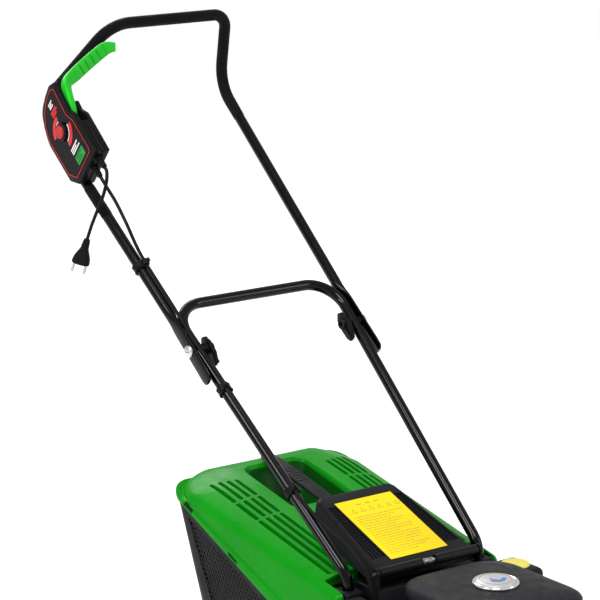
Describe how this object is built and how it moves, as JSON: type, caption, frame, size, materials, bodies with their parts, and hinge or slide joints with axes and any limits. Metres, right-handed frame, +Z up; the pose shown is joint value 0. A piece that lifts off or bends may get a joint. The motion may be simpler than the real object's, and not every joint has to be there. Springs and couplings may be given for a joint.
{
  "type": "lawn mower",
  "caption": "Small corded rotary lawn mower with a folding tube handle, switch box and dead-man lever, rear guard, grass box, wheels and blade.",
  "frame": {"origin": "on the ground, under the centre of the bounding box", "axes": "-Y is the way the mower travels, +Y towards the operator, +Z up, -X the side of the switch box"},
  "size_m": [0.398, 1.1226, 0.9729],
  "materials": {
    "deck_plastic": "fine grained",
    "cover_plastic": "fine grained",
    "flap_plastic": "satin",
    "lid_green": "gloss",
    "mesh_plastic": "perforated",
    "tube_black": "gloss powder coat",
    "grip_foam": "matt foam",
    "switch_black": "satin",
    "trigger_green": "satin",
    "button_red": "satin",
    "cable_black": "matt",
    "zinc": "zinc plated",
    "steel": "plain",
    "chrome": "polished",
    "label_yellow": "printed",
    "cap_yellow": "satin",
    "tyre_black": "matt",
    "cap_grey": "satin"
  },
  "bodies": {
    "chassis": {"deck_housing": "deck_plastic", "motor_cover": "cover_plastic", "cover_badge": "chrome", "motor_can": "steel", "stub_axle_front_near": "steel", "stub_axle_front_far": "steel", "stub_axle_rear_near": "steel", "stub_axle_rear_far": "steel", "flap_hinge_pin": "steel", "flap_spring": "steel", "deck_sticker": "cap_yellow", "gland_deck": "cable_black", "foot_screw_near": "zinc", "foot_screw_far": "zinc", "lower_handle_tube": "tube_black", "fold_spacer_near": "switch_black", "fold_spacer_far": "switch_black", "fold_bolt_near": "zinc", "fold_bolt_far": "zinc", "cable_clip_middle": "cable_black", "cable_clip_lower": "cable_black", "motor_cable_lower": "cable_black"},
    "upper_handle": {"upper_handle_tube": "tube_black", "grip_sleeve_leg": "grip_foam", "grip_sleeve_loop": "grip_foam", "switch_shell_outer": "switch_black", "switch_shell_inner": "switch_black", "micro_switch": "switch_black", "trigger_pin": "steel", "gland_motor": "switch_black", "gland_supply": "switch_black", "motor_cable_upper": "cable_black", "cable_clip_upper": "cable_black", "supply_cord": "cable_black", "plug_body": "cable_black", "plug_pin_left": "chrome", "plug_pin_right": "chrome"},
    "wing_lever_near": {"wing_lever_near": "switch_black"},
    "wing_lever_far": {"wing_lever_far": "switch_black"},
    "trigger": {"trigger_lever": "trigger_green"},
    "button": {"safety_button": "button_red"},
    "rear_flap": {"rear_flap": "flap_plastic", "flap_label": "label_yellow"},
    "grass_box": {"box_body": "mesh_plastic", "box_lid": "lid_green", "box_carry_handle": "flap_plastic", "box_front_frame": "flap_plastic"},
    "rotor": {"motor_shaft": "steel", "blade_fan_hub": "deck_plastic", "cutting_blade": "steel", "blade_bolt": "zinc"},
    "wheel_front_near": {"wheel_front_near": "tyre_black", "wheel_cap_front_near": "cap_grey"},
    "wheel_front_far": {"wheel_front_far": "tyre_black", "wheel_cap_front_far": "cap_grey"},
    "wheel_rear_near": {"wheel_rear_near": "tyre_black", "wheel_cap_rear_near": "cap_grey"},
    "wheel_rear_far": {"wheel_rear_far": "tyre_black", "wheel_cap_rear_far": "cap_grey"}
  },
  "joints": [
    {"name": "handle_fold", "type": "hinge", "parent": "chassis", "child": "upper_handle", "pos_m": [0, 0.153, 0.52], "axis": [1, 0, 0], "range_deg": [0, 150]},
    {"name": "wing_turn_near", "type": "hinge", "parent": "chassis", "child": "wing_lever_near", "pos_m": [-0.138, 0.153, 0.52], "axis": [1, 0, 0], "range_deg": [0, 270]},
    {"name": "wing_turn_far", "type": "hinge", "parent": "chassis", "child": "wing_lever_far", "pos_m": [0.138, 0.153, 0.52], "axis": [1, 0, 0], "range_deg": [0, 270]},
    {"name": "trigger_squeeze", "type": "hinge", "parent": "upper_handle", "child": "trigger", "pos_m": [-0.173, 0.45374, 0.83588], "axis": [-1, 0, 0], "range_deg": [0, 7], "stiffness_Nm_per_rad": 0.6, "springref_deg": -14.32},
    {"name": "button_press", "type": "slide", "parent": "upper_handle", "child": "button", "axis": [1, 0, 0], "range_m": [0, 0.004], "stiffness_N_per_m": 300, "springref_m": -0.004},
    {"name": "flap_hinge", "type": "hinge", "parent": "chassis", "child": "rear_flap", "pos_m": [0, -0.216, 0.258], "axis": [1, 0, 0], "range_deg": [0, 70], "stiffness_Nm_per_rad": 0.3, "springref_deg": -28.65},
    {"name": "grass_box_lift_off", "type": "slide", "parent": "chassis", "child": "grass_box", "axis": [0, 1, 0], "range_m": [0, 0.12]},
    {"name": "rotor_spin", "type": "hinge", "parent": "chassis", "child": "rotor", "pos_m": [0, -0.362, 0.1], "axis": [0, 0, 1], "continuous": true},
    {"name": "wheel_front_near_roll", "type": "hinge", "parent": "chassis", "child": "wheel_front_near", "pos_m": [-0.175, -0.4963, 0.065], "axis": [1, 0, 0], "continuous": true},
    {"name": "wheel_front_far_roll", "type": "hinge", "parent": "chassis", "child": "wheel_front_far", "pos_m": [0.175, -0.4963, 0.065], "axis": [1, 0, 0], "continuous": true},
    {"name": "wheel_rear_near_roll", "type": "hinge", "parent": "chassis", "child": "wheel_rear_near", "pos_m": [-0.182, -0.232, 0.078], "axis": [1, 0, 0], "continuous": true},
    {"name": "wheel_rear_far_roll", "type": "hinge", "parent": "chassis", "child": "wheel_rear_far", "pos_m": [0.182, -0.232, 0.078], "axis": [1, 0, 0], "continuous": true}
  ]
}
